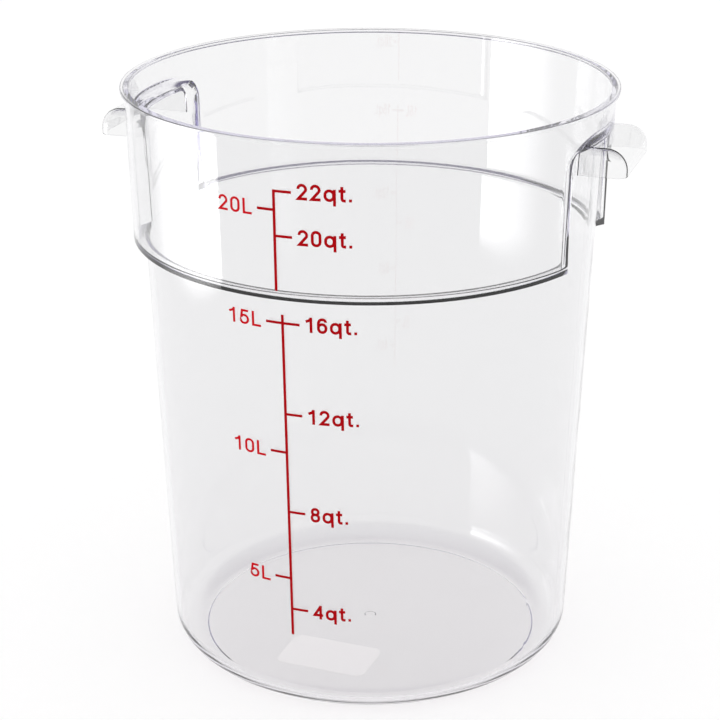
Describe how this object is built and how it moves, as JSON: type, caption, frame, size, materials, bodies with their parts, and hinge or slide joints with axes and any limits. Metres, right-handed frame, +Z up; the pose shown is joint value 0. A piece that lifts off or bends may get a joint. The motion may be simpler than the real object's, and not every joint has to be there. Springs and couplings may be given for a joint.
{
  "type": "food storage container",
  "caption": "Clear round food storage container with a stepped collar, a flat rim for a press-on lid, two hooded handles and a printed volume scale; open at the top",
  "frame": {"origin": "middle of the foot ring, on the plane that the container stands on", "axes": "+Z up along the container's own axis; the handles lie on +X and -X; the printed scale faces -Y"},
  "size_m": [0.344, 0.314, 0.38],
  "materials": {
    "container": "clear, polished",
    "ink": "screen-printed, satin",
    "label": "matt paper"
  },
  "bodies": {
    "root": {"container_body": "container", "body_scale": "ink", "collar_scale": "ink", "base_label": "label"}
  },
  "joints": []
}
